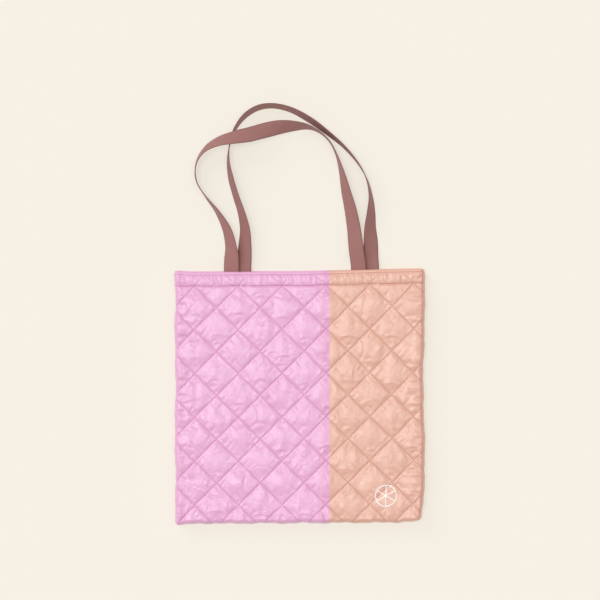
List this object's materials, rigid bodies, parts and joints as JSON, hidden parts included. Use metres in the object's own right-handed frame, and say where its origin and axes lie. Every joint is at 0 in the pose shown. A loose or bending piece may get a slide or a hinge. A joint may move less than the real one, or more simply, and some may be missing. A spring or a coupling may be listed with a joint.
{
  "type": "quilted tote bag",
  "caption": "Flat quilted tote bag in two colour fields, with a turned hem and long webbing carry handles, lying on its back.",
  "frame": {"origin": "centre of the back panel's outer face, on the surface that the bag lies on", "axes": "+Y from the bottom seam to the mouth and the handles, +Z from the back panel to the front panel, +X to the right when the front is looked at"},
  "size_m": [0.41, 0.691, 0.0426],
  "materials": {
    "pink_nylon": "satin nylon, soft sheen",
    "peach_nylon": "satin nylon, soft sheen",
    "hem_facing": "satin nylon, turned-in hem",
    "seam_allowance": "bound nylon seam",
    "lining": "plain-weave polyester lining",
    "batting": "matt polyester wadding",
    "quilting_thread": "polyester thread",
    "hem_thread": "polyester thread",
    "webbing": "twill webbing, soft matt",
    "webbing_thread": "polyester thread",
    "mark_print": "thin screen print"
  },
  "bodies": {
    "bag": {"back_shell_pink": "pink_nylon", "back_shell_peach": "peach_nylon", "back_quilting_thread": "quilting_thread", "back_batting": "batting", "back_lining": "lining", "back_hem_facing": "hem_facing", "back_hem_lower_stitches": "hem_thread", "back_hem_upper_stitches": "hem_thread", "front_shell_pink": "pink_nylon", "front_shell_peach": "peach_nylon", "front_quilting_thread": "quilting_thread", "front_batting": "batting", "front_lining": "lining", "front_hem_facing": "hem_facing", "front_hem_lower_stitches": "hem_thread", "front_hem_upper_stitches": "hem_thread", "left_seam_allowance": "seam_allowance", "right_seam_allowance": "seam_allowance", "bottom_seam_allowance": "seam_allowance", "front_handle_left_end": "webbing", "front_handle_left_box_stitch": "webbing_thread", "front_handle_right_end": "webbing", "front_handle_right_box_stitch": "webbing_thread", "back_handle_left_end": "webbing", "back_handle_left_box_stitch": "webbing_thread", "back_handle_right_end": "webbing", "back_handle_right_box_stitch": "webbing_thread", "printed_mark": "mark_print"},
    "front_handle": {"front_handle": "webbing"},
    "back_handle": {"back_handle": "webbing"}
  },
  "joints": [
    {"name": "front_handle_fold", "type": "hinge", "parent": "bag", "child": "front_handle", "pos_m": [0, 0.203, 0.0255], "axis": [1, 0, 0], "range_deg": [0, 170]},
    {"name": "back_handle_fold", "type": "hinge", "parent": "bag", "child": "back_handle", "pos_m": [0, 0.203, 0.0255], "axis": [1, 0, 0], "range_deg": [0, 170]}
  ],
  "couplings": [
    {"joint": "back_handle_fold", "follows": "front_handle_fold", "ratio": 1}
  ]
}
